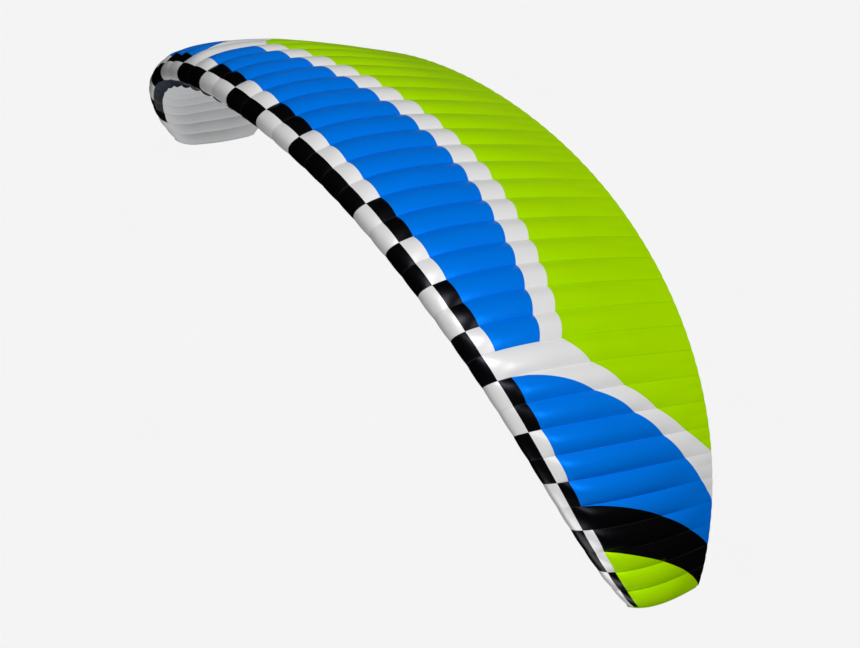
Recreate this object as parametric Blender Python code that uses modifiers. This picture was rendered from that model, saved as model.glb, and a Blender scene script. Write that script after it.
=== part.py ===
"""Paraglider wing, inflated and arched as it flies.

A row of forty cloth cells lies side by side along an arch.  Each cell is a top panel that
billows between two upright ribs and a flatter lower panel.  The mouth of each cell is an open
slot under the nose, except in the closed cells near the tips.  A one-piece cap closes each tip.

Frame: metres, +Z up, +X along the span, +Y from the leading edge to the trailing edge.
The origin is on the underside of the middle rib, where the suspension lines pull.
"""
import bpy
import bmesh
import numpy as np

# ---- driving dimensions -------------------------------------------------------------------
CELLS = 40                    # cells between the two outermost ribs
HALF_SPAN = 5.10              # along the arched cloth, middle rib to outermost rib
ROOT_CHORD = 3.222            # middle rib, nose to trailing edge
TIP_CHORD_RATIO = 0.332       # outermost rib's chord over the middle rib's
CHORD_POWER = 2.136           # how late the chord starts to shorten towards the tip
CHORD_FULLNESS = 0.90         # below 1, the chord shortens later
TIP_SETBACK = 1.873           # outermost nose behind the middle nose
SETBACK_POWER = 2.956         # how late the leading edge starts to sweep back
TIP_ROUNDING = 0.04           # more setback in the last cells, which rounds the tip's corner
ROUNDING_POWER = 20
TIP_ANGLE = 1.319             # the arch's slope at the outermost rib, radians
LATE_ARCH = 1.09              # share of that slope which builds up towards the tip
ARCH_EASE = 0.569             # how much less the arch bends over its last part
CELL_NARROWING = 0.21         # the last cell's width is this much less than the middle one's
NARROWING_POWER = 1.81
ROOT_THICKNESS = 0.152        # profile thickness over chord
TIP_THICKNESS = 0.20
TIP_TWIST = 0.024             # the chord's turn about its quarter point towards the tip, radians
LATE_TWIST = -0.097           # a turn the other way, close to the tip
FLAT_UNDERSIDE = 0.40         # how much flatter the lower side is than the upper, behind the nose
FLAT_FADE = 0.5               # share of that flatness lost at the tip
LINE_CHORD = 0.30             # the origin's place along the middle chord

SHEET = 0.001                 # cloth thickness
SEAM_GAP = 0.0003             # clearance between two sewn pieces
TAIL_HALF = 0.0012            # half the height of the trailing edge
RIB_HALF = 0.0005             # half a rib's thickness
RIB_INSET = 0.0014            # rib edge below the outer face of the top panels
SWEPT_INSET = 0.0006          # added to it at the tips, where the panels cross the ribs aslant
MOUTH_INSET = 0.003           # rib edge behind the mouth
CAP_GAP = 0.0008              # clearance between a tip cap and the outermost rib
CAP_BULGE = 0.055             # how far a tip cap reaches past the outermost rib
CAP_ROOT = 0.012              # its reach at the nose and at the tail

TOP_BILLOW = 0.14             # crown of a top panel over its cell's width
NOSE_BILLOW = 0.02            # crown at the nose's lower edge
NOSE_END = 0.11               # the crown is full from here
TAIL_BILLOW = 0.03            # crown at the trailing edge
BILLOW_FADE = 0.45            # the crown starts to fade here, as a share of the chord
LOWER_BILLOW = 0.07           # crown of a lower panel
CREASE_START = 0.80           # the mid-cell crease runs from here to the trailing edge
CREASE_DEPTH = 0.65           # share of the billow that it takes away at the trailing edge

CLOSED_CELLS = 3              # cells with no mouth, at each tip
LIP = 0.012                   # the mouth's upper lip, on the lower side of the nose
LOWER_FRONT = 0.06            # the lower sail's front edge
CLOSED_END = 0.058            # where a closed nose panel ends
BAND = 0.077                  # the leading-edge band reaches this far over the top

# Chord stations; a negative one lies on the lower side of the nose.
TOP_STATIONS = (0.0, 0.008, 0.03, BAND, 0.17, 0.32, 0.50, 0.67, 0.83, 0.96, 1.0)
LOWER_STATIONS = (LOWER_FRONT, 0.17, 0.32, 0.50, 0.67, 0.83, 0.96, 1.0)
NOSE_STATION = -0.02          # between the mouth's two edges
TOP_COLUMNS = (0.0, 0.25, 0.5, 0.75, 1.0)
CAP_COLUMNS = (0.0, 0.40, 0.75, 0.93)

# The colour fields: the cells out from the middle where each line starts and ends.
BAND_SPLIT = 0.03             # the band's two rows of blocks meet here
STRIPE_FRONT = 0.43           # the white stripe's front at the middle, over the chord
STRIPE_SWEEP = 0.17           # how far it comes forward to its end
STRIPE_WIDTH = 0.10
STRIPE_END = 9
STRIPE_TAIL = 14
OUTER_BLUE = (10, 16, 0.60)   # first seam, seam at the tail, how full the bow is
BLACK_BOW = (15, 18, 0.60)
LIME_TIP = (17, 20, 0.70)

# Cells in each lower section, from the +X tip; near the middle each has one.
SECTION_CELLS = (6, 5, 3, 2, 1, 1, 1, 1, 1, 1, 1, 1, 2, 3, 5, 6)

COLOURS = {
    "blue_cloth": (0.0, 0.162, 0.745),
    "lime_cloth": (0.352, 0.686, 0.0),
    "white_cloth": (0.69, 0.69, 0.69),
    "black_cloth": (0.012, 0.012, 0.013),
    "grey_cloth": (0.52, 0.53, 0.55),
}
CLOTH_ROUGHNESS = 0.55

MIDDLE = CELLS // 2


# ---- the wing's form ----------------------------------------------------------------------
def smooth(x):
    """0 to 1, with soft ends."""
    x = np.clip(x, 0.0, 1.0)
    return x * x * (3.0 - 2.0 * x)


def arch_point(distance):
    """Place (x, z) and slope of the arch at a distance from the middle along the cloth."""
    steps = np.linspace(0.0, abs(distance), 400)
    share = steps / HALF_SPAN
    early = 1.0 - LATE_ARCH + ARCH_EASE
    slope = TIP_ANGLE * (early * share + LATE_ARCH * share ** 3 - ARCH_EASE * share ** 6)
    mid = 0.5 * (slope[1:] + slope[:-1])
    length = np.diff(steps)
    return np.sum(np.cos(mid) * length), -np.sum(np.sin(mid) * length), slope[-1]


def seam_distances():
    """Distance of each seam from the middle, from 0 to HALF_SPAN."""
    place = (np.arange(MIDDLE) + 0.5) / MIDDLE
    widths = 1.0 - CELL_NARROWING * place ** NARROWING_POWER
    reach = np.concatenate([[0.0], np.cumsum(widths)])
    return reach / reach[-1] * HALF_SPAN


SEAMS = seam_distances()


def half_thickness(t, thickness):
    """Half height of the profile at chord share t, over the chord."""
    return 5.0 * thickness * (0.2969 * np.sqrt(t) - 0.1260 * t - 0.3516 * t ** 2
                              + 0.2843 * t ** 3 - 0.1036 * t ** 4)


class Rib:
    """The plane of one seam; number 0 is the outermost on the +X side."""

    def __init__(self, number):
        steps = MIDDLE - number
        self.side = 1.0 if steps >= 0 else -1.0
        share = SEAMS[abs(steps)] / HALF_SPAN
        x, z, slope = arch_point(SEAMS[abs(steps)])
        self.place = np.array([self.side * x, 0.0, z])
        self.up = np.array([self.side * np.sin(slope), 0.0, np.cos(slope)])
        self.across = np.array([np.cos(slope), 0.0, -self.side * np.sin(slope)])
        fullness = (1.0 - share ** CHORD_POWER) ** CHORD_FULLNESS
        taper = TIP_CHORD_RATIO + (1.0 - TIP_CHORD_RATIO) * fullness
        rounding = TIP_ROUNDING * share ** ROUNDING_POWER
        self.chord = ROOT_CHORD * taper - rounding
        self.setback = TIP_SETBACK * share ** SETBACK_POWER + rounding
        self.flatness = FLAT_UNDERSIDE * (1.0 - FLAT_FADE * share ** 2)
        self.rib_inset = RIB_INSET + SWEPT_INSET * share ** 4
        self.thickness = ROOT_THICKNESS + (TIP_THICKNESS - ROOT_THICKNESS) * share ** 2
        self.twist = TIP_TWIST * share ** 2 + LATE_TWIST * share ** 6

    def outline(self, t):
        """Profile point (y, z) in the rib's plane; a negative t is on the lower side."""
        height = half_thickness(abs(t), self.thickness) * self.chord
        if t < 0.0:
            flat = 1.0 - self.flatness * smooth((abs(t) - LOWER_FRONT) / 0.35)
            return np.array([abs(t) * self.chord, -height * flat - TAIL_HALF * abs(t)])
        return np.array([t * self.chord, height + TAIL_HALF * t])

    def inward(self, t):
        """Unit vector into the profile at station t."""
        step = 0.006
        if abs(t) < step:
            return np.array([1.0, 0.0])
        sign = 1.0 if t > 0.0 else -1.0
        along = (self.outline(sign * min(abs(t) + step, 1.0)) - self.outline(t - sign * step))
        along /= np.linalg.norm(along)
        return np.array([along[1], -along[0]]) * sign

    def point(self, t, inset=0.0, beside=0.0, flatten=0.0):
        """World point at station t: inset into the profile, beside the rib's plane along +X."""
        y, z = self.outline(t) + inset * self.inward(t)
        z *= 1.0 - flatten
        quarter = 0.25 * self.chord
        cos, sin = np.cos(self.twist), np.sin(self.twist)
        turned_y = quarter + (y - quarter) * cos - z * sin
        turned_z = (y - quarter) * sin + z * cos
        return (self.place + self.up * turned_z + self.across * beside
                + np.array([0.0, self.setback + turned_y, 0.0]) - ORIGIN)


ORIGIN = np.zeros(3)
RIBS = [Rib(number) for number in range(CELLS + 1)]
ORIGIN = RIBS[MIDDLE].point(-LINE_CHORD)


def top_billow(t):
    """Height of a top panel's crown over its cell's width."""
    rise = NOSE_BILLOW + (TOP_BILLOW - NOSE_BILLOW) * smooth((t + LIP) / (NOSE_END + LIP))
    return rise + (TAIL_BILLOW - TOP_BILLOW) * smooth((t - BILLOW_FADE) / (1.0 - BILLOW_FADE))


def crown_shape(v, t):
    """Share of the crown at v across the cell; the mid-cell crease halves it at the tail."""
    crown = 4.0 * v * (1.0 - v)
    half = (2.0 * v) % 1.0
    twin = 0.5 * 4.0 * half * (1.0 - half) + (1.0 - CREASE_DEPTH) * crown
    return crown + (twin - crown) * smooth((abs(t) - CREASE_START) / (1.0 - CREASE_START))


def facing(rib_a, rib_b, t):
    """Unit vector out of the cell at station t, square to the chord line and the span."""
    step = 0.004
    low, high = (t - step, t + step) if abs(t) > step else (-step, step)
    along = rib_a.point(min(high, 1.0)) - rib_a.point(max(low, -1.0))
    out = np.cross(along, rib_b.point(t) - rib_a.point(t))
    out /= np.linalg.norm(out)
    return -out


# ---- meshes -------------------------------------------------------------------------------
def make_collection(name):
    collection = bpy.data.collections.new(name)
    bpy.context.scene.collection.children.link(collection)
    return collection


def make_cloths():
    """One Principled material for each colour of cloth."""
    for name, colour in COLOURS.items():
        material = bpy.data.materials.new(name)
        material.use_nodes = True
        shader = material.node_tree.nodes["Principled BSDF"]
        shader.inputs["Base Color"].default_value = (*colour, 1.0)
        shader.inputs["Roughness"].default_value = CLOTH_ROUGHNESS
        shader.inputs["Metallic"].default_value = 0.0


def add_object(name, bm, cloths, collection):
    """Make a named object from a bmesh, with these cloths in its material slots."""
    mesh = bpy.data.meshes.new(name)
    bm.to_mesh(mesh)
    bm.free()
    for cloth in cloths:
        mesh.materials.append(bpy.data.materials[cloth])
    obj = bpy.data.objects.new(name, mesh)
    collection.objects.link(obj)
    return obj


def thicken(obj):
    """Give an open surface the cloth's thickness, on its inner side."""
    solidify = obj.modifiers.new("cloth_thickness", "SOLIDIFY")
    solidify.thickness = SHEET
    solidify.offset = -1.0
    solidify.use_even_offset = False


def skin(bm, rows):
    """Quads between rows of equal length; returns them."""
    vertices = [[bm.verts.new(point) for point in row] for row in rows]
    faces = []
    for row, above in zip(vertices, vertices[1:]):
        for i in range(len(row) - 1):
            faces.append(bm.faces.new((row[i], row[i + 1], above[i + 1], above[i])))
    return faces


def cell_is_open(cell):
    return CLOSED_CELLS <= cell < CELLS - CLOSED_CELLS


# ---- colours of the top panels ------------------------------------------------------------
# Lines are chord shares over k, the cells out from the middle seam.
def stripe_front(k):
    """Where the inner blue field ends and the white stripe starts."""
    return STRIPE_FRONT - STRIPE_SWEEP * (k / STRIPE_END) ** 2


def stripe_back(k):
    """Where the white stripe ends and the lime field starts, out to the tail."""
    inner = stripe_front(min(k, STRIPE_END)) + STRIPE_WIDTH
    run = np.clip((k - STRIPE_END) / (STRIPE_TAIL - STRIPE_END), 0.0, 1.0)
    return inner + (1.0 - inner) * run ** 1.3


def bow(k, first, last, power):
    """A line that leaves the band at one seam and reaches the tail at another."""
    run = np.clip((k - first) / (last - first), 0.0, 1.0)
    return BAND + (1.0 - BAND) * run ** power


def cloth_at(cell, t):
    """Name of the cloth of a top panel at chord share t."""
    k = abs(cell + 0.5 - MIDDLE)
    if t < BAND:
        dark = (int(k) // 2 + (0 if t < BAND_SPLIT else 1)) % 2 == 0
        return "black_cloth" if dark else "white_cloth"
    if t < bow(k, *LIME_TIP):
        return "lime_cloth"
    if t < bow(k, *BLACK_BOW):
        return "black_cloth"
    if t < bow(k, *OUTER_BLUE):
        return "blue_cloth"
    if k < STRIPE_END and t < stripe_front(k):
        return "blue_cloth"
    return "white_cloth" if t < stripe_back(k) else "lime_cloth"


# ---- pieces -------------------------------------------------------------------------------
def top_panel(cell, collection):
    """One cell's top cloth, from its front edge under the nose to the trailing edge."""
    near, far = RIBS[cell + 1], RIBS[cell]      # far lies towards +X
    front = (-LIP,) if cell_is_open(cell) else (-CLOSED_END, NOSE_STATION)
    stations = front + TOP_STATIONS
    rows = []
    for t in stations:
        a = near.point(t, beside=SEAM_GAP / 2)
        b = far.point(t, beside=-SEAM_GAP / 2)
        lift = facing(near, far, t) * np.linalg.norm(b - a) * top_billow(t)
        rows.append([a + (b - a) * v + lift * crown_shape(v, t) for v in TOP_COLUMNS])
    bm = bmesh.new()
    faces = skin(bm, rows)
    cloths = list(COLOURS)
    columns = len(TOP_COLUMNS) - 1
    for index, face in enumerate(faces):
        row = index // columns
        middle = 0.5 * (stations[row] + stations[row + 1])
        face.material_index = cloths.index(cloth_at(cell, middle))
    thicken(add_object(f"top_panel_{cell + 1:02d}", bm, cloths, collection))


def tip_cap(name, rib, out, collection):
    """The cloth that closes a tip, folded round from top to underside; out is +1 or -1.

    Its upper half is lime and its lower half grey.
    """
    side = TOP_STATIONS[:-1]                    # the cap stops a little short of the tail
    ring = list(reversed(side)) + [-t for t in side[1:]]
    bm = bmesh.new()
    rows = []
    for v in CAP_COLUMNS:
        row = []
        for t in ring:
            reach = CAP_ROOT + (CAP_BULGE - CAP_ROOT) * np.sin(np.pi * abs(t) ** 0.8)
            beside = out * (RIB_HALF + CAP_GAP + reach * v)
            row.append(rib.point(t, beside=beside, flatten=1.0 - np.sqrt(1.0 - v * v)))
        rows.append(row)
    faces = skin(bm, rows)
    bm.verts.ensure_lookup_table()
    last = bm.verts[-len(ring):]
    edge = []
    for t in side:
        reach = CAP_ROOT + (CAP_BULGE - CAP_ROOT) * np.sin(np.pi * t ** 0.8)
        beside = out * (RIB_HALF + CAP_GAP + reach)
        edge.append(bm.verts.new(rib.point(t, beside=beside, flatten=1.0)))
    folded = list(reversed(edge)) + edge[1:]
    for i in range(len(ring) - 1):
        faces.append(bm.faces.new((last[i], last[i + 1], folded[i + 1], folded[i])))
    span = len(ring) - 1
    for index, face in enumerate(faces):
        face.material_index = 0 if index % span < span // 2 else 1
    if out < 0:
        bmesh.ops.reverse_faces(bm, faces=bm.faces)
    thicken(add_object(name, bm, ["lime_cloth", "grey_cloth"], collection))


def owned_seams(first, last):
    """Seams whose rib a lower section carries: those inside it and its end nearer the middle.

    The middle rib is a piece of its own.
    """
    own = set(range(first + 1, last)) | ({0, CELLS} & {first, last})
    if last < MIDDLE:
        own.add(last)
    elif first > MIDDLE:
        own.add(first)
    return own


def lower_section(number, first, last, collection):
    """Lower cloth of the cells between two seams, with the ribs that stand on it."""
    own = owned_seams(first, last)
    outer, inner, rib_pairs = [], [], []

    def add_line(rib, beside):
        outer.append([rib.point(-t, beside=beside) for t in LOWER_STATIONS])
        inner.append([rib.point(-t, inset=SHEET, beside=beside) for t in LOWER_STATIONS])

    def add_crown(near, far):
        outside, inside = [], []
        for t in LOWER_STATIONS:
            a, b = near.point(-t), far.point(-t)
            out = facing(near, far, -t)
            crown = (a + b) / 2 + out * np.linalg.norm(b - a) * LOWER_BILLOW
            outside.append(crown)
            inside.append(crown - out * SHEET)
        outer.append(outside)
        inner.append(inside)

    for seam in range(last, first - 1, -1):     # from the -X side to the +X side
        if seam in own:
            rib_pairs.append((len(outer), RIBS[seam]))
            add_line(RIBS[seam], -RIB_HALF)
            add_line(RIBS[seam], RIB_HALF)
        else:
            edge = RIB_HALF + SEAM_GAP
            add_line(RIBS[seam], edge if seam == last else -edge)
        if seam > first:
            add_crown(RIBS[seam], RIBS[seam - 1])

    bm = bmesh.new()
    under = [[bm.verts.new(p) for p in line] for line in outer]
    upper = [[bm.verts.new(p) for p in line] for line in inner]
    rib_lines = {line for line, _ in rib_pairs}
    tail = len(LOWER_STATIONS) - 1
    for i in range(len(under) - 1):
        for j in range(tail):
            bm.faces.new((under[i][j], under[i][j + 1], under[i + 1][j + 1], under[i + 1][j]))
            if i not in rib_lines or j == tail - 1:
                bm.faces.new((upper[i][j], upper[i + 1][j], upper[i + 1][j + 1], upper[i][j + 1]))
        for j in (0, tail):
            bm.faces.new((under[i][j], under[i + 1][j], upper[i + 1][j], upper[i][j]))
    for i in (0, len(under) - 1):
        for j in range(tail):
            bm.faces.new((under[i][j], upper[i][j], upper[i][j + 1], under[i][j + 1]))
    for line, rib in rib_pairs:
        raise_rib(bm, rib, upper[line][:tail], upper[line + 1][:tail])
    bmesh.ops.recalc_face_normals(bm, faces=bm.faces)
    add_object(f"lower_section_{number:02d}", bm, ["grey_cloth"], collection)


def raise_rib(bm, rib, left_root, right_root):
    """Stand a rib on the lower cloth, between two rows of its vertices, front to back."""
    contour = [(-LOWER_FRONT, MOUTH_INSET), (NOSE_STATION, MOUTH_INSET)]
    contour += [(t, rib.rib_inset) for t in TOP_STATIONS[:-1]]
    left = [bm.verts.new(rib.point(t, inset=d, beside=-RIB_HALF)) for t, d in contour]
    right = [bm.verts.new(rib.point(t, inset=d, beside=RIB_HALF)) for t, d in contour]
    bm.faces.new(list(reversed(left_root)) + left)
    bm.faces.new(list(reversed(right_root)) + right)
    left_rim = [left_root[0]] + left + [left_root[-1]]
    right_rim = [right_root[0]] + right + [right_root[-1]]
    for k in range(len(left_rim) - 1):
        bm.faces.new((left_rim[k], left_rim[k + 1], right_rim[k + 1], right_rim[k]))


def middle_rib(collection):
    """The rib that stands between the two middle lower sections."""
    rib = RIBS[MIDDLE]
    outline = [(-t, 0.0) for t in reversed(LOWER_STATIONS[:-1])]
    outline += [(-LOWER_FRONT, MOUTH_INSET), (NOSE_STATION, MOUTH_INSET)]
    outline += [(t, rib.rib_inset) for t in TOP_STATIONS[:-1]]
    bm = bmesh.new()
    left = [bm.verts.new(rib.point(t, inset=d, beside=-RIB_HALF)) for t, d in outline]
    right = [bm.verts.new(rib.point(t, inset=d, beside=RIB_HALF)) for t, d in outline]
    bm.faces.new(left)
    bm.faces.new(list(reversed(right)))
    for k in range(len(outline)):
        bm.faces.new((left[k], right[k], right[k - 1], left[k - 1]))
    bmesh.ops.recalc_face_normals(bm, faces=bm.faces)
    add_object("middle_rib", bm, ["grey_cloth"], collection)


def build():
    for obj in list(bpy.data.objects):
        bpy.data.objects.remove(obj, do_unlink=True)
    make_cloths()
    collection = make_collection("paraglider_wing")
    for cell in range(CELLS):
        top_panel(cell, collection)
    tip_cap("tip_cap_right", RIBS[0], 1.0, collection)
    tip_cap("tip_cap_left", RIBS[CELLS], -1.0, collection)
    middle_rib(collection)
    first = 0
    for number, count in enumerate(SECTION_CELLS, start=1):
        lower_section(number, first, first + count, collection)
        first += count


build()
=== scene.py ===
"""Looks of the paraglider wing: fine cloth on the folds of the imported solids.

Every top panel, lower panel, rib and tip cap is a thin sheet of its own.  The form is the one
that the solids have, worked out on a finer grid and a little fuller on top, with the small
wrinkles that run from the sewing and the creases over the tail.  Colours follow lines that run
from seam to seam, and the cloth's weave, sewing and gloss are in the materials.

Frame: metres, +Z up, +X along the span, +Y from the leading edge to the trailing edge.
"""

import bpy
import numpy as np
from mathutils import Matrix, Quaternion, Vector


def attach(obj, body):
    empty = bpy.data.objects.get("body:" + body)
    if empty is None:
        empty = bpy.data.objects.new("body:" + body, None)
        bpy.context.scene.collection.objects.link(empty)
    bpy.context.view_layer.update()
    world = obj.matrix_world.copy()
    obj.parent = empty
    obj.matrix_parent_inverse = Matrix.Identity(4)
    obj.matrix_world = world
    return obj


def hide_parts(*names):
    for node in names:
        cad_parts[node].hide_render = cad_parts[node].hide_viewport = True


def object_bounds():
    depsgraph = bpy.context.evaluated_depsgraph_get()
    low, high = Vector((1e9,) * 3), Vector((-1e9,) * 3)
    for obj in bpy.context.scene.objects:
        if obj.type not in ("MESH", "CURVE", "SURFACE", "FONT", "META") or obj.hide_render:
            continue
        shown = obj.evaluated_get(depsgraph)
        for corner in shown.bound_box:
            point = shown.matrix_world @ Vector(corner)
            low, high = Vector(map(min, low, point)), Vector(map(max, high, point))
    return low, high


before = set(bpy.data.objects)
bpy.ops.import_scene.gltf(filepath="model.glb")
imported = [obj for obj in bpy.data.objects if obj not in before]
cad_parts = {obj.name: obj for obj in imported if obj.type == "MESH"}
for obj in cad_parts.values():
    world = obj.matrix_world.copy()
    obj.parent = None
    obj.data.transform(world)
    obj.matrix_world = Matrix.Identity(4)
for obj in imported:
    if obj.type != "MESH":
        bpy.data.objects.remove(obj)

CAD_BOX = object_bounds()

# ---- the wing's form, as in the part's source -----------------------------------------------
CELLS = 40                    # cells between the two outermost ribs
HALF_SPAN = 5.10              # along the arched cloth, middle rib to outermost rib
ROOT_CHORD = 3.222            # middle rib, nose to trailing edge
TIP_CHORD_RATIO = 0.332       # outermost rib's chord over the middle rib's
CHORD_POWER = 2.136           # how late the chord starts to shorten towards the tip
CHORD_FULLNESS = 0.90         # below 1, the chord shortens later
TIP_SETBACK = 1.873           # outermost nose behind the middle nose
SETBACK_POWER = 2.956         # how late the leading edge starts to sweep back
TIP_ROUNDING = 0.04           # more setback in the last cells, which rounds the tip's corner
ROUNDING_POWER = 20
TIP_ANGLE = 1.319             # sets the arch's slope at the outermost rib, radians
LATE_ARCH = 1.09              # how much of that slope builds up towards the tip
ARCH_EASE = 0.569             # how much less the arch bends over its last part
CELL_NARROWING = 0.21         # the last cell's width is this much less than the middle one's
NARROWING_POWER = 1.81
ROOT_THICKNESS = 0.152        # profile thickness over chord
TIP_THICKNESS = 0.20
TIP_TWIST = 0.024             # the chord's turn about its quarter point towards the tip, radians
LATE_TWIST = -0.097           # a turn the other way, close to the tip
FLAT_UNDERSIDE = 0.40         # how much flatter the lower side is than the upper
FLAT_RUN = 0.35               # the lower side flattens over this share of the chord
FLAT_FADE = 0.5               # share of that flatness lost at the tip
LINE_CHORD = 0.30             # the origin's place along the middle chord
SEAM_GAP = 0.0003             # clearance between two sewn pieces
TAIL_HALF = 0.0012            # half the height of the trailing edge
RIB_HALF = 0.0005             # half the thickness of a rib's solid
RIB_INSET = 0.0014            # rib edge below the outer face of the top panels
LOWER_INSET = 0.0012          # rib edge above the outer face of the lower panels
MOUTH_INSET = 0.003           # rib edge behind the mouth
CAP_GAP = 0.0008              # clearance between a tip cap and the outermost rib
CAP_BULGE = 0.055             # how far a tip cap reaches past the outermost rib
CAP_ROOT = 0.012              # its reach at the nose and at the tail
CAP_FULLNESS = 0.8            # below 1, the cap's widest part lies further forward
TOP_BILLOW = 0.16             # crown over a cell's width, here 5 mm fuller than the solids'
NOSE_BILLOW = 0.02            # crown at the nose's lower edge
NOSE_END = 0.11               # the crown is full from here
TAIL_BILLOW = 0.03            # crown at the trailing edge
BILLOW_FADE = 0.45            # the crown starts to fade here, as a share of the chord
LOWER_BILLOW = 0.07           # crown of a lower panel
LOWER_FADE = 0.1              # it fades over this share of the chord, at the trailing edge
CREASE_START = 0.80           # the mid-cell crease runs from here to the trailing edge
CREASE_DEPTH = 0.65           # share of the billow that it takes away at the trailing edge
CLOSED_CELLS = 3              # cells with no mouth, at each tip
LIP = 0.012                   # the mouth's upper lip, on the lower side of the nose
LOWER_FRONT = 0.06            # the lower cloth's front edge
CLOSED_END = 0.058            # where a closed nose panel ends
BAND = 0.077                  # the leading-edge band reaches this far over the top
BAND_SPLIT = 0.030            # the band's two rows of blocks meet here
FRONT_OF_RIBS = 0.01          # the ribs' cloth runs from here
TAIL_OF_RIBS = 0.96           # to here
# Cells in each lower section, from the +X tip.
SECTION_CELLS = (6, 5, 3, 2, 1, 1, 1, 1, 1, 1, 1, 1, 2, 3, 5, 6)
MIDDLE = CELLS // 2

# ---- the finer grid and its details ---------------------------------------------------------
CLOTH = 0.0006                # thickness of a sheet
COLUMNS = 16                  # quads across a cell's top cloth
LOWER_COLUMNS = 12            # and across its lower cloth
ROW_LENGTH = 0.045            # most that a quad reaches along the chord
NOSE_ROWS = 5                 # rows in each part of the leading-edge band
RIB_ROWS = 40                 # points along a rib
RIB_COLUMNS = 7               # points up a rib
CAP_ROWS = 36                 # points along each half of a tip cap
CAP_COLUMNS = 15              # points round it
CALM_SEAM = 0.010             # no wrinkle stands this near a seam
RIPPLE = 0.0016               # height of the wrinkles that run out from a seam
RIPPLE_REACH = 0.060          # how far they run into the cell
RIPPLE_LENGTH = 0.110         # one wrinkle to the next
RIPPLE_LEAN = 0.35            # how far they lean along the chord
SLACK = 0.002                 # slow unevenness of the cloth
SLACK_LENGTH = 0.9            # one slow wave to the next
SLACK_SLANT = 0.4             # how far such a wave runs aslant
SLACK_EDGE = 0.3              # it fades over this share of a cell's width, towards each seam
CALM_TAIL = 0.04              # and all relief over this share of the chord, at the tail
LOWER_SEED = 50               # the lower cloth's wrinkles differ from the top's
CAP_SEED = 7.0                # the caps' weave differs from the cells'

# ---- the camera -----------------------------------------------------------------------------
CAMERA_PLACE = Vector((24.508, -27.467, 20.613))
CAMERA_AIM = Vector((0.664, 0.532, -1.298))
CAMERA_ROLL = 21.870          # degrees, clockwise
CAMERA_LENS = 181.83          # mm
SENSOR_WIDTH = 36.0           # mm

# ---- the studio -----------------------------------------------------------------------------
FLOOR_SIZE = 8000.0
FLOOR_DROP = 80.0             # the wing flies this far over the floor
FLOOR_GLOW = 0.07             # keeps the floor as pale as the sky
FLOOR_CLOUD = 0.15            # scale of the noise between its two tones
SKY_STRENGTH = 0.89           # only seen, so that it gives no light
LIGHT_DISTANCE = 20.0         # where the lamps stand; their light doesn't depend on it
# Each light is seen in a direction, with its strength and its angle in degrees.
KEY_LIGHT = (Vector((0.23, -0.44, 0.87)), 2.36, 12.0)
SIDE_LIGHT = (Vector((0.69, 0.10, 0.72)), 1.15, 20.0)
FILL_LIGHT = (Vector((0.45, -0.20, -0.87)), 2.1, 40.0)
BACK_LIGHT = (Vector((-0.80, 0.60, 0.0)), 0.45, 40.0)

# ---- colours, linear ------------------------------------------------------------------------
BLUE = (0.0, 0.182, 0.800)
LIME = (0.420, 0.787, 0.0)
WHITE = (0.79, 0.79, 0.79)
BLACK = (0.0016, 0.0016, 0.002)
GREY = (0.76, 0.765, 0.775)
FLOOR_DARK = (0.89, 0.89, 0.89)
FLOOR_LIGHT = (0.91, 0.91, 0.91)
THREAD = {"blue_cloth": (0.0, 0.10, 0.50), "lime_cloth": (0.24, 0.50, 0.0),
          "white_cloth": (0.58, 0.58, 0.59), "black_cloth": (0.03, 0.03, 0.033),
          "grey_cloth": (0.40, 0.405, 0.415)}
RIPSTOP = 0.006               # the weave's stronger threads, one to the next
THREAD_EDGE = 12.0            # how sharply such a thread stands out
STITCH = 0.0042               # one stitch to the next
STITCH_GAP = 0.35             # share of it that is under the cloth
STITCH_HALF = 0.0005          # half the thickness of the sewing thread
SEWING = (0.004, 0.009)       # a seam's two rows of stitches, from the seam
ALLOWANCE = 0.0015            # the fold right beside a seam
HEM = 0.012                   # width of the hem at a mouth
HEM_HALF = 0.0006             # half the thickness of its thread
CLOUD_SCALE = 1.6             # noise over the wing that shades its colours
FIBRE_SCALE = 240.0           # noise over the weave that varies its gloss
FIBRE_SPREAD = 0.10           # how much it varies
CREASE_SCALE = 14.0           # noise over the wing that raises small creases
CREASE_HEIGHT = 0.0020
BUMP_STRENGTH = 0.6           # share of all that relief that shows in the shading
GRID_SHADE = 0.10             # how much lighter the weave's stronger threads are
GRID_HEIGHT = 0.00006
FOLD_SHADE = 0.4              # how much of the thread's colour the fold beside a seam has
STITCH_DEPTH = 0.0003         # the stitches draw the cloth in this far
THREAD_DULLNESS = 0.2         # how much rougher they are
GLOSS_IOR = 1.7               # of the cloth's coating
CLOTHS = {}                   # the materials made below, by the record's names for the colours


# ---- form -----------------------------------------------------------------------------------
def smooth(x):
    """0 to 1, with soft ends."""
    x = np.clip(x, 0.0, 1.0)
    return x * x * (3.0 - 2.0 * x)


def arch_point(distance):
    """Place (x, z) and slope of the arch at a distance from the middle along the cloth."""
    steps = np.linspace(0.0, abs(distance), 400)
    share = steps / HALF_SPAN
    early = 1.0 - LATE_ARCH + ARCH_EASE
    slope = TIP_ANGLE * (early * share + LATE_ARCH * share ** 3 - ARCH_EASE * share ** 6)
    mid = 0.5 * (slope[1:] + slope[:-1])
    length = np.diff(steps)
    return np.sum(np.cos(mid) * length), -np.sum(np.sin(mid) * length), slope[-1]


def seam_distances():
    """Distance of each seam from the middle, from 0 to HALF_SPAN."""
    place = (np.arange(MIDDLE) + 0.5) / MIDDLE
    widths = 1.0 - CELL_NARROWING * place ** NARROWING_POWER
    reach = np.concatenate([[0.0], np.cumsum(widths)])
    return reach / reach[-1] * HALF_SPAN


SEAMS = seam_distances()


def half_thickness(t, thickness):
    """Half height of the profile at chord share t, over the chord: a NACA four-digit section."""
    return 5.0 * thickness * (0.2969 * np.sqrt(t) - 0.1260 * t - 0.3516 * t ** 2
                              + 0.2843 * t ** 3 - 0.1036 * t ** 4)


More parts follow.
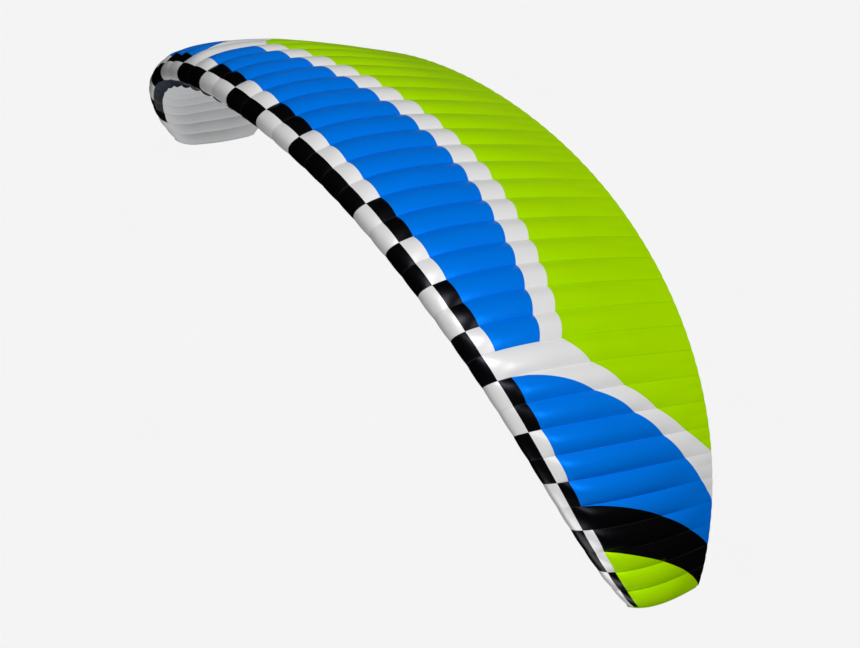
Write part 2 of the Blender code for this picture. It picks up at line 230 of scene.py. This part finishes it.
class Rib:
    """The plane of one seam; number 0 is the outermost on the +X side."""

    def __init__(self, number):
        steps = MIDDLE - number
        self.side = 1.0 if steps >= 0 else -1.0
        share = SEAMS[abs(steps)] / HALF_SPAN
        x, z, slope = arch_point(SEAMS[abs(steps)])
        self.place = np.array([self.side * x, 0.0, z])
        self.up = np.array([self.side * np.sin(slope), 0.0, np.cos(slope)])
        self.across = np.array([np.cos(slope), 0.0, -self.side * np.sin(slope)])
        fullness = (1.0 - share ** CHORD_POWER) ** CHORD_FULLNESS
        taper = TIP_CHORD_RATIO + (1.0 - TIP_CHORD_RATIO) * fullness
        rounding = TIP_ROUNDING * share ** ROUNDING_POWER
        self.chord = ROOT_CHORD * taper - rounding
        self.setback = TIP_SETBACK * share ** SETBACK_POWER + rounding
        self.flatness = FLAT_UNDERSIDE * (1.0 - FLAT_FADE * share ** 2)
        self.thickness = ROOT_THICKNESS + (TIP_THICKNESS - ROOT_THICKNESS) * share ** 2
        self.twist = TIP_TWIST * share ** 2 + LATE_TWIST * share ** 6

    def outline(self, t):
        """Profile points (y, z) in the rib's plane; a negative t is on the lower side."""
        size = np.abs(t)
        height = half_thickness(size, self.thickness) * self.chord
        flat = 1.0 - self.flatness * smooth((size - LOWER_FRONT) / FLAT_RUN)
        z = np.where(t < 0.0, -height * flat, height) + TAIL_HALF * t
        return np.stack([size * self.chord, z], axis=-1)

    def inward(self, t):
        """Unit vectors into the profile at stations t."""
        step = 0.006
        side = np.where(t > 0.0, 1.0, -1.0)
        ahead = side * np.minimum(np.abs(t) + step, 1.0)
        along = self.outline(ahead) - self.outline(t - side * step)
        along = along / np.linalg.norm(along, axis=-1, keepdims=True)
        into = np.stack([along[..., 1], -along[..., 0]], axis=-1) * side[..., None]
        nose = (np.abs(t) < step)[..., None]
        return np.where(nose, np.array([1.0, 0.0]), into)

    def point(self, t, inset=0.0, beside=0.0, flatten=0.0):
        """World points at stations t: inset into the profile, beside the plane along +X."""
        t = np.asarray(t, float)
        place = self.outline(t) + inset * self.inward(t)
        y, z = place[..., 0], place[..., 1] * (1.0 - flatten)
        quarter = 0.25 * self.chord
        cos, sin = np.cos(self.twist), np.sin(self.twist)
        turned_y = quarter + (y - quarter) * cos - z * sin
        turned_z = (y - quarter) * sin + z * cos
        aft = np.array([0.0, 1.0, 0.0])
        return (self.place + self.across * beside + self.up * turned_z[..., None]
                + aft * (self.setback + turned_y)[..., None] - ORIGIN)


ORIGIN = np.zeros(3)          # until the middle rib gives the frame's origin
RIBS = [Rib(number) for number in range(CELLS + 1)]
ORIGIN = RIBS[MIDDLE].point(-LINE_CHORD)


def top_billow(t):
    """Height of a top panel's crown over its cell's width."""
    rise = NOSE_BILLOW + (TOP_BILLOW - NOSE_BILLOW) * smooth((t + LIP) / (NOSE_END + LIP))
    return rise + (TAIL_BILLOW - TOP_BILLOW) * smooth((t - BILLOW_FADE) / (1.0 - BILLOW_FADE))


def crown_shape(v, t):
    """Share of the crown at v across the cell; the mid-cell crease halves it at the tail."""
    crown = 4.0 * v * (1.0 - v)
    half = (2.0 * v) % 1.0
    twin = 0.5 * 4.0 * half * (1.0 - half) + (1.0 - CREASE_DEPTH) * crown
    return crown + (twin - crown) * smooth((np.abs(t) - CREASE_START) / (1.0 - CREASE_START))


def facing(near, far, t):
    """Unit vectors out of the cell at stations t, square to the chord line and the span."""
    step = 0.004
    calm = np.abs(t) > step
    ahead = np.minimum(np.where(calm, t + step, step), 1.0)
    behind = np.maximum(np.where(calm, t - step, -step), -1.0)
    along = near.point(ahead) - near.point(behind)
    out = np.cross(along, far.point(t) - near.point(t))
    return -out / np.linalg.norm(out, axis=-1, keepdims=True)


def cell_is_open(cell):
    """Whether a cell has a mouth at the nose."""
    return CLOSED_CELLS <= cell < CELLS - CLOSED_CELLS


# ---- small relief ---------------------------------------------------------------------------
def wander(seed, place, length):
    """A smooth curve from -1 to 1 that never repeats, one wave to each length."""
    turns = 2.0 * np.pi * place / length
    return (np.sin(turns + 1.7 * seed) + np.sin(0.61 * turns + 2.9 * seed)
            + np.sin(1.57 * turns + 0.8 * seed)) / 3.0


def relief(cell, v, along, width, chord_share):
    """Height of the wrinkles and slack on a cell's cloth, zero at the seams and tail."""
    from_seam = np.minimum(v, 1.0 - v) * width
    side = np.where(v < 0.5, 0.0, 1.0)
    seed = cell + 0.37 * side + side
    fan = np.exp(-from_seam / RIPPLE_REACH) * (1.0 - np.exp(-from_seam / CALM_SEAM))
    leaning = along + RIPPLE_LEAN * from_seam * np.sin(0.9 * along + seed)
    ripple = RIPPLE * fan * wander(seed, leaning, RIPPLE_LENGTH)
    inner = smooth(from_seam / (SLACK_EDGE * width))
    slack = SLACK * inner * wander(0.7 * cell, along + SLACK_SLANT * v * width, SLACK_LENGTH)
    calm = smooth((1.0 - np.abs(chord_share)) / CALM_TAIL)
    return (ripple + slack) * calm


# ---- the wing's colours ---------------------------------------------------------------------
# Lines are chord shares over k, the cells out from the middle seam.
STRIPE_FRONT = (0.43, 0.17)       # at the middle, and how far it comes forward
STRIPE_WIDTH = 0.10
STRIPE_END = 9                    # the inner blue field ends here
STRIPE_TAIL = 14                  # the lime field's edge reaches the tail here
STRIPE_CURVE = 1.3                # how late it turns there
OUTER_BLUE = (10, 16, 0.60)       # first seam, seam where it reaches the tail, how full its bow is
BLACK_BOW = (15, 18, 0.60)
LIME_TIP = (17, 20, 0.70)


def stripe_front(k):
    """The front of the white stripe, which ends the inner blue field."""
    return STRIPE_FRONT[0] - STRIPE_FRONT[1] * (k / STRIPE_END) ** 2


def stripe_back(k):
    """The back of the white stripe, where the lime field starts."""
    inner = stripe_front(np.minimum(k, STRIPE_END)) + STRIPE_WIDTH
    run = np.clip((k - STRIPE_END) / (STRIPE_TAIL - STRIPE_END), 0.0, 1.0)
    return inner + (1.0 - inner) * run ** STRIPE_CURVE


def bow(first, last, power):
    """A line that leaves the band at one seam and reaches the tail at another."""
    def line(k):
        run = np.clip((k - first) / (last - first), 0.0, 1.0)
        return BAND + (1.0 - BAND) * run ** power
    return line


def fields(steps):
    """Cloths aft of the band in the cell between seams steps and steps + 1, with their borders."""
    outer, black, tip = bow(*OUTER_BLUE), bow(*BLACK_BOW), bow(*LIME_TIP)
    borders = []
    if LIME_TIP[0] <= steps < LIME_TIP[1]:
        borders.append(("lime_cloth", tip))
    if BLACK_BOW[0] <= steps < BLACK_BOW[1]:
        borders.append(("black_cloth", black))
    if OUTER_BLUE[0] <= steps < OUTER_BLUE[1]:
        borders.append(("blue_cloth", outer))
    if steps < STRIPE_END:
        borders.append(("blue_cloth", stripe_front))
    if steps < STRIPE_TAIL:
        borders.append(("white_cloth", stripe_back))
        last = "lime_cloth"
    elif steps < OUTER_BLUE[1]:
        last = "white_cloth"
    elif steps < BLACK_BOW[1]:
        last = "blue_cloth"
    else:
        last = "black_cloth"
    return borders, last


def band_cloth(steps, upper):
    """One block of the leading-edge band, a plain checkerboard two cells wide."""
    dark = (steps // 2 + (1 if upper else 0)) % 2 == 0
    return "black_cloth" if dark else "white_cloth"


def panel_rows(cell):
    """Row functions t(k) down a top panel, and the cloth between each row and the next."""
    steps = int(abs(cell + 0.5 - MIDDLE))
    rows, cloths = [], []

    def fill(start, end, count, cloth, ease=1.0):
        """Rows from one line to another, the first of them included."""
        for i in range(count):
            share = (i / count) ** ease
            rows.append(lambda k, s=share: start(k) + (end(k) - start(k)) * s)
            cloths.append(cloth)

    def at(value):
        return lambda k: value + 0.0 * k

    low = band_cloth(steps, False)
    fill(at(-LIP if cell_is_open(cell) else -CLOSED_END), at(0.0), NOSE_ROWS, low)
    fill(at(0.0), at(BAND_SPLIT), NOSE_ROWS, low, ease=2.0)
    fill(at(BAND_SPLIT), at(BAND), NOSE_ROWS, band_cloth(steps, True))
    start = at(BAND)
    borders, last = fields(steps)
    chord = RIBS[min(cell, CELLS - 1 - cell) + 1].chord
    for cloth, line in borders + [(last, at(1.0))]:
        longest = max(abs(line(k) - start(k)) for k in (steps, steps + 0.5, steps + 1.0))
        fill(start, line, max(2, int(np.ceil(longest * chord / ROW_LENGTH))), cloth)
        start = line
    rows.append(at(1.0))
    return rows, cloths


# ---- meshes ---------------------------------------------------------------------------------
def set_points(mesh, name, kind, values):
    """Store a number or vector on each point of a mesh."""
    layer = mesh.attributes.new(name, kind, "POINT")
    key = "vector" if kind == "FLOAT_VECTOR" else "value"
    layer.data.foreach_set(key, np.asarray(values, np.float32).ravel())


def sharpen_border(mesh, rows, columns):
    """Mark a grid's outer edges sharp, so that the cut edge doesn't shade the cloth beside it."""
    ends = np.empty(2 * len(mesh.edges), int)
    mesh.edges.foreach_get("vertices", ends)
    row, column = np.divmod(ends.reshape(-1, 2), columns)
    along = (row[:, 0] == row[:, 1]) & np.isin(row[:, 0], (0, rows - 1))
    across = (column[:, 0] == column[:, 1]) & np.isin(column[:, 0], (0, columns - 1))
    sharp = mesh.attributes.new("sharp_edge", "BOOLEAN", "EDGE")
    sharp.data.foreach_set("value", along | across)


def grid_object(name, points, cloths, face_cloths, weave, seam, edge):
    """A sheet from a grid of points, with its own weave coordinates.

    weave is (across, along) in metres, seam the distance to the nearest sewn side, and edge the
    distance to a hemmed front edge.
    """
    rows, columns = points.shape[:2]
    mesh = bpy.data.meshes.new(name)
    index = np.arange(rows * columns).reshape(rows, columns)
    quads = np.stack([index[:-1, :-1], index[:-1, 1:], index[1:, 1:], index[1:, :-1]], axis=-1)
    mesh.from_pydata(points.reshape(-1, 3).tolist(), [], quads.reshape(-1, 4).tolist())
    for cloth in cloths:
        mesh.materials.append(CLOTHS[cloth])
    mesh.polygons.foreach_set("material_index", np.repeat(face_cloths, columns - 1))
    mesh.polygons.foreach_set("use_smooth", np.ones(len(mesh.polygons), bool))
    set_points(mesh, "weave", "FLOAT_VECTOR", weave)
    set_points(mesh, "seam", "FLOAT", seam)
    set_points(mesh, "edge", "FLOAT", edge)
    sharpen_border(mesh, rows, columns)
    mesh.validate()
    mesh.update()
    obj = bpy.data.objects.new(name, mesh)
    bpy.context.scene.collection.objects.link(obj)
    return obj


def thicken(obj, offset=-1.0):
    """Give a sheet its thickness: behind its faces at offset -1, before them at 1."""
    solidify = obj.modifiers.new("cloth_thickness", "SOLIDIFY")
    solidify.thickness = CLOTH
    solidify.offset = offset
    solidify.use_even_offset = False


def flat_size(points):
    """Width and length of a sheet's grid, as it would be cut flat."""
    across = np.linalg.norm(np.diff(points, axis=1), axis=2).sum(axis=1)
    along = np.linalg.norm(np.diff(points, axis=0), axis=2).sum(axis=0)
    return float(across.max()), float(along.max())


def declare(obj, node):
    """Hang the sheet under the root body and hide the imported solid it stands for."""
    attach(obj, "root")
    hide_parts(node)


def distances(points):
    """Metres along and across a grid, from its first row and its middle column."""
    along = np.linalg.norm(np.diff(points, axis=0), axis=2)
    along = np.concatenate([np.zeros((1, points.shape[1])), np.cumsum(along, axis=0)])
    across = np.linalg.norm(np.diff(points, axis=1), axis=2)
    across = np.concatenate([np.zeros((points.shape[0], 1)), np.cumsum(across, axis=1)], axis=1)
    width = across[:, -1:]
    seam = np.minimum(across, width - across)
    return along, across - 0.5 * width, seam


def top_surface(cell, t, v):
    """Points of a cell's top cloth at stations t and shares v across it."""
    t, v = np.broadcast_arrays(t, v)
    near, far = RIBS[cell + 1], RIBS[cell]
    a, b = near.point(t, beside=SEAM_GAP / 2), far.point(t, beside=-SEAM_GAP / 2)
    width = np.linalg.norm(b - a, axis=2)
    crown = width * top_billow(t) * crown_shape(v, t)
    crown = crown + relief(cell, v, np.abs(t) * near.chord, width, t)
    return a + (b - a) * v[..., None] + facing(near, far, t) * crown[..., None]


def top_panel(cell):
    """The cloth of one cell, from under the nose to the tail, in its coloured pieces."""
    v = np.linspace(0.0, 1.0, COLUMNS + 1)
    k = np.abs(MIDDLE - (cell + 1) + v)
    rows, cloths = panel_rows(cell)
    t = np.array([row(k) for row in rows])
    points = top_surface(cell, t, v)
    names = ["blue_cloth", "lime_cloth", "white_cloth", "black_cloth"]
    length, across, seam = distances(points)
    weave = np.stack([across, length, np.full_like(across, cell)], axis=-1)
    edge = length if cell_is_open(cell) else length + 1.0
    faces = [names.index(cloth) for cloth in cloths]
    obj = grid_object(f"top_cloth_{cell + 1:02d}", points, names, faces, weave, seam, edge)
    thicken(obj)
    straight = np.linspace(t[0, 0], 1.0, len(rows))[:, None]
    size = flat_size(top_surface(cell, straight, v))
    declare(obj, f"top_panel_{cell + 1:02d}")


def lower_panel(cell, node):
    """The lower cloth of one cell, from the mouth's lower lip to the tail."""
    near, far = RIBS[cell + 1], RIBS[cell]
    count = int(np.ceil(near.chord / (2.0 * ROW_LENGTH)))
    t, v = np.meshgrid(-np.linspace(LOWER_FRONT ** 0.5, 1.0, count + 1) ** 2,
                       np.linspace(0.0, 1.0, LOWER_COLUMNS + 1), indexing="ij")
    a, b = near.point(t, beside=SEAM_GAP / 2), far.point(t, beside=-SEAM_GAP / 2)
    width = np.linalg.norm(b - a, axis=2)
    crown = width * LOWER_BILLOW * 4.0 * v * (1.0 - v) * smooth((1.0 + t) / LOWER_FADE)
    crown = crown + relief(cell + LOWER_SEED, v, -t * near.chord, width, t)
    points = a + (b - a) * v[..., None] + facing(near, far, t) * crown[..., None]
    length, across, seam = distances(points)
    weave = np.stack([across, length, np.full_like(across, cell)], axis=-1)
    edge = length if cell_is_open(cell) else length + 1.0
    faces = [0] * (points.shape[0] - 1)
    obj = grid_object(f"lower_cloth_{cell + 1:02d}", points, ["grey_cloth"], faces,
                      weave, seam, edge)
    thicken(obj, offset=1.0)
    declare(obj, node)


def rib_sheet(seam_number, node):
    """One upright rib, a flat sheet between the top and lower cloth."""
    rib = RIBS[seam_number]
    size = np.linspace(FRONT_OF_RIBS ** 0.5, TAIL_OF_RIBS ** 0.5, RIB_ROWS)[:, None] ** 2
    lower_inset = np.where(size < LOWER_FRONT, MOUTH_INSET, LOWER_INSET)[..., None]
    low = rib.point(-size, inset=lower_inset)
    high = rib.point(size, inset=RIB_INSET)
    share = np.linspace(0.0, 1.0, RIB_COLUMNS)[None, :, None]
    points = low + (high - low) * share
    length, across, _ = distances(points)
    weave = np.stack([across, length, np.full_like(across, seam_number)], axis=-1)
    far_off = np.full(across.shape, 1.0)
    obj = grid_object(f"rib_cloth_{seam_number:02d}", points, ["grey_cloth"],
                      [0] * (points.shape[0] - 1), weave, far_off, far_off)
    thicken(obj, offset=0.0)
    declare(obj, node)


def tip_cap(name, node, rib, out):
    """The cloth that closes a tip, folded round from the top to the underside, lime over grey."""
    size = np.linspace(0.0, TAIL_OF_RIBS ** 0.5, CAP_ROWS) ** 2
    ring, turn = np.meshgrid(np.concatenate([size[::-1], -size[1:]]),
                             np.linspace(0.0, 0.5 * np.pi, CAP_COLUMNS), indexing="ij")
    reach = CAP_ROOT + (CAP_BULGE - CAP_ROOT) * np.sin(np.pi * np.abs(ring) ** CAP_FULLNESS)
    beside = out * (RIB_HALF + CAP_GAP + reach * np.sin(turn))
    points = rib.point(ring, beside=beside[..., None], flatten=1.0 - np.cos(turn))
    if out < 0:
        points = points[:, ::-1]
    length, across, seam = distances(points)
    weave = np.stack([across, length, np.full_like(across, CAP_SEED * out)], axis=-1)
    half = points.shape[0] // 2
    obj = grid_object(name, points, ["lime_cloth", "grey_cloth"], [0] * half + [1] * half, weave,
                      seam, np.full(seam.shape, 1.0))
    thicken(obj)
    declare(obj, node)


# ---- materials ------------------------------------------------------------------------------
class Nodes:
    """Short ways to add and link shader nodes."""

    def __init__(self, material):
        self.tree = material.node_tree

    def add(self, kind, **settings):
        node = self.tree.nodes.new("ShaderNode" + kind)
        for key, value in settings.items():
            setattr(node, key, value)
        return node

    def link(self, value, socket):
        """Link an output to a socket, or set the socket to a plain value."""
        if hasattr(value, "node"):
            self.tree.links.new(value, socket)
        else:
            socket.default_value = value

    def maths(self, operation, *values):
        node = self.add("Math", operation=operation)
        for value, socket in zip(values, node.inputs):
            self.link(value, socket)
        return node.outputs[0]

    def attribute(self, name, output="Fac"):
        return self.add("Attribute", attribute_name=name).outputs[output]

    def noise(self, vector, scale, detail):
        node = self.add("TexNoise")
        self.link(vector, node.inputs["Vector"])
        node.inputs["Scale"].default_value = scale
        node.inputs["Detail"].default_value = detail
        return node.outputs["Fac"]

    def mix(self, share, a, b):
        """A colour between a and b; sockets 0, 6, 7 and 2 are the Mix node's colour ones."""
        node = self.add("Mix", data_type="RGBA")
        self.link(share, node.inputs[0])
        self.link(a, node.inputs[6])
        self.link(b, node.inputs[7])
        return node.outputs[2]

    def line(self, value, middle, half_width):
        """1 on a line where value is middle, 0 past half_width from it."""
        off = self.maths("ABSOLUTE", self.maths("SUBTRACT", value, middle))
        return self.maths("LESS_THAN", off, half_width)

    def threads(self, place):
        """1 on the weave's stronger threads, which lie RIPSTOP apart."""
        turn = self.maths("MULTIPLY", place, 2.0 * np.pi / RIPSTOP)
        wave = self.maths("ABSOLUTE", self.maths("COSINE", self.maths("MULTIPLY", turn, 0.5)))
        return self.maths("POWER", wave, THREAD_EDGE)

    def stitches(self, place):
        """1 where the sewing thread lies on the cloth, 0 in the gaps between its stitches."""
        share = self.maths("FRACT", self.maths("DIVIDE", place, STITCH))
        return self.maths("GREATER_THAN", share, STITCH_GAP)


def shade(colour, times, plus=0.0):
    """A colour made lighter or darker, with its alpha."""
    return (*(min(1.0, times * c + plus) for c in colour), 1.0)


def cloth_material(name, colour, roughness, specular):
    """Coated ripstop: a fine grid, sewing along the seams, faint unevenness and a satin gloss."""
    material = bpy.data.materials.new(name.replace("cloth", "ripstop"))
    material.use_nodes = True
    CLOTHS[name] = material
    nodes = Nodes(material)
    shader = material.node_tree.nodes["Principled BSDF"]
    weave = nodes.attribute("weave", "Vector")
    split = nodes.add("SeparateXYZ")
    nodes.link(weave, split.inputs[0])
    across, along = split.outputs[0], split.outputs[1]
    seam, edge = nodes.attribute("seam"), nodes.attribute("edge")

    grid = nodes.maths("MAXIMUM", nodes.threads(across), nodes.threads(along))
    rows = nodes.maths("MAXIMUM", *(nodes.line(seam, row, STITCH_HALF) for row in SEWING))
    sewn = nodes.maths("MULTIPLY", rows, nodes.stitches(along))
    hem = nodes.maths("MULTIPLY", nodes.line(edge, HEM, HEM_HALF), nodes.stitches(across))
    sewn = nodes.maths("MAXIMUM", sewn, hem)
    allowance = nodes.maths("LESS_THAN", seam, ALLOWANCE)

    place = nodes.add("TexCoord").outputs["Object"]
    cloudy = nodes.noise(place, CLOUD_SCALE, 3.0)
    varied = nodes.mix(cloudy, shade(colour, 0.90), shade(colour, 1.0))
    gridded = nodes.mix(nodes.maths("MULTIPLY", grid, GRID_SHADE), varied,
                        shade(colour, 1.25, 0.004))
    thread = shade(THREAD[name], 1.0)
    stitched = nodes.mix(sewn, gridded, thread)
    nodes.link(nodes.mix(nodes.maths("MULTIPLY", allowance, FOLD_SHADE), stitched, thread),
               shader.inputs["Base Color"])

    fibre = nodes.noise(weave, FIBRE_SCALE, 2.0)
    dull = nodes.maths("ADD", roughness - 0.5 * FIBRE_SPREAD,
                       nodes.maths("MULTIPLY", fibre, FIBRE_SPREAD))
    nodes.link(nodes.maths("ADD", dull, nodes.maths("MULTIPLY", sewn, THREAD_DULLNESS)),
               shader.inputs["Roughness"])
    shader.inputs["IOR"].default_value = GLOSS_IOR
    shader.inputs["Specular IOR Level"].default_value = specular
    shader.inputs["Specular Tint"].default_value = shade(colour, 1.0 / max(colour))

    creases = nodes.noise(place, CREASE_SCALE, 4.0)
    height = nodes.maths("ADD", nodes.maths("MULTIPLY", creases, CREASE_HEIGHT),
                         nodes.maths("MULTIPLY", grid, GRID_HEIGHT))
    height = nodes.maths("SUBTRACT", height, nodes.maths("MULTIPLY", sewn, STITCH_DEPTH))
    bump = nodes.add("Bump")
    bump.inputs["Strength"].default_value = BUMP_STRENGTH
    bump.inputs["Distance"].default_value = 1.0
    nodes.link(height, bump.inputs["Height"])
    nodes.link(bump.outputs["Normal"], shader.inputs["Normal"])


def make_cloths():
    """The five cloths, each with its colour, roughness and gloss."""
    cloth_material("blue_cloth", BLUE, 0.38, 1.0)
    cloth_material("lime_cloth", LIME, 0.38, 1.0)
    cloth_material("white_cloth", WHITE, 0.38, 0.55)
    cloth_material("black_cloth", BLACK, 0.31, 0.055)
    cloth_material("grey_cloth", GREY, 0.45, 0.18)


def floor_material():
    """A pale, dull floor with a little slow unevenness."""
    material = bpy.data.materials.new("studio_floor")
    material.use_nodes = True
    nodes = Nodes(material)
    shader = material.node_tree.nodes["Principled BSDF"]
    place = nodes.add("TexCoord").outputs["Object"]
    tone = nodes.noise(place, FLOOR_CLOUD, 2.0)
    nodes.link(nodes.mix(tone, shade(FLOOR_DARK, 1.0), shade(FLOOR_LIGHT, 1.0)),
               shader.inputs["Base Color"])
    shader.inputs["Roughness"].default_value = 0.9
    shader.inputs["Emission Color"].default_value = (1.0, 1.0, 1.0, 1.0)
    shader.inputs["Emission Strength"].default_value = FLOOR_GLOW
    shader.inputs["Specular IOR Level"].default_value = 0.0
    return material


# ---- studio ---------------------------------------------------------------------------------
def make_floor():
    """A wide floor far below, which is seen but sheds no light or shade on the wing."""
    height = CAD_BOX[0].z - FLOOR_DROP
    bpy.ops.mesh.primitive_plane_add(size=FLOOR_SIZE, location=(0.0, 0.0, height))
    floor = bpy.context.object
    floor.name = "studio_floor"
    floor.data.materials.append(floor_material())
    floor.visible_diffuse = False
    floor.visible_glossy = False
    floor.visible_shadow = False


def add_sun(name, toward, strength, softness):
    """A distant lamp seen in the direction toward; softness is its angle in degrees."""
    data = bpy.data.lights.new(name, "SUN")
    data.energy = strength
    data.angle = np.radians(softness)
    light = bpy.data.objects.new(name, data)
    light.location = LIGHT_DISTANCE * toward
    light.rotation_mode = "QUATERNION"
    light.rotation_quaternion = (-toward).to_track_quat("-Z", "Y")
    bpy.context.scene.collection.objects.link(light)
    return light


def make_sky():
    """A pale sky, which is seen but gives no light."""
    world = bpy.data.worlds.new("studio")
    world.use_nodes = True
    back = world.node_tree.nodes["Background"]
    back.inputs["Color"].default_value = (1.0, 1.0, 1.0, 1.0)
    back.inputs["Strength"].default_value = SKY_STRENGTH
    bpy.context.scene.world = world
    world.cycles_visibility.diffuse = False
    world.cycles_visibility.glossy = False


def make_lights():
    """Four suns; the one behind the wing adds no shine along its edge."""
    add_sun("key_light", *KEY_LIGHT)
    add_sun("side_light", *SIDE_LIGHT)
    add_sun("fill_light", *FILL_LIGHT)
    back_light = add_sun("back_light", *BACK_LIGHT)
    back_light.visible_glossy = False


def make_camera():
    """The camera of the photo's view."""
    data = bpy.data.cameras.new("photo_view")
    data.lens = CAMERA_LENS
    data.sensor_width = SENSOR_WIDTH
    data.sensor_fit = "HORIZONTAL"
    data.clip_start = 0.5
    data.clip_end = FLOOR_SIZE
    camera = bpy.data.objects.new("photo_view", data)
    camera.location = CAMERA_PLACE
    look = (CAMERA_AIM - CAMERA_PLACE).to_track_quat("-Z", "Y")
    roll = Quaternion((0.0, 0.0, 1.0), np.radians(CAMERA_ROLL))
    camera.rotation_mode = "QUATERNION"
    camera.rotation_quaternion = look @ roll
    bpy.context.scene.collection.objects.link(camera)
    bpy.context.scene.camera = camera


# ---- the scene ------------------------------------------------------------------------------
def make_wing():
    """All the cloth: top panels, tip caps, lower panels and ribs."""
    for cell in range(CELLS):
        top_panel(cell)
    tip_cap("tip_cloth_right", "tip_cap_right", RIBS[0], 1.0)
    tip_cap("tip_cloth_left", "tip_cap_left", RIBS[CELLS], -1.0)
    sections = []
    for number, count in enumerate(SECTION_CELLS, start=1):
        sections += [f"lower_section_{number:02d}"] * count
    for cell in range(CELLS):
        lower_panel(cell, sections[cell])
    for seam in range(CELLS + 1):
        if seam == MIDDLE:
            rib_sheet(seam, "middle_rib")
        elif seam < MIDDLE:
            rib_sheet(seam, sections[max(seam - 1, 0)])
        else:
            rib_sheet(seam, sections[min(seam, CELLS - 1)])


make_cloths()
make_wing()
make_floor()
make_lights()
make_sky()
make_camera()
bpy.context.scene.view_settings.view_transform = "Standard"
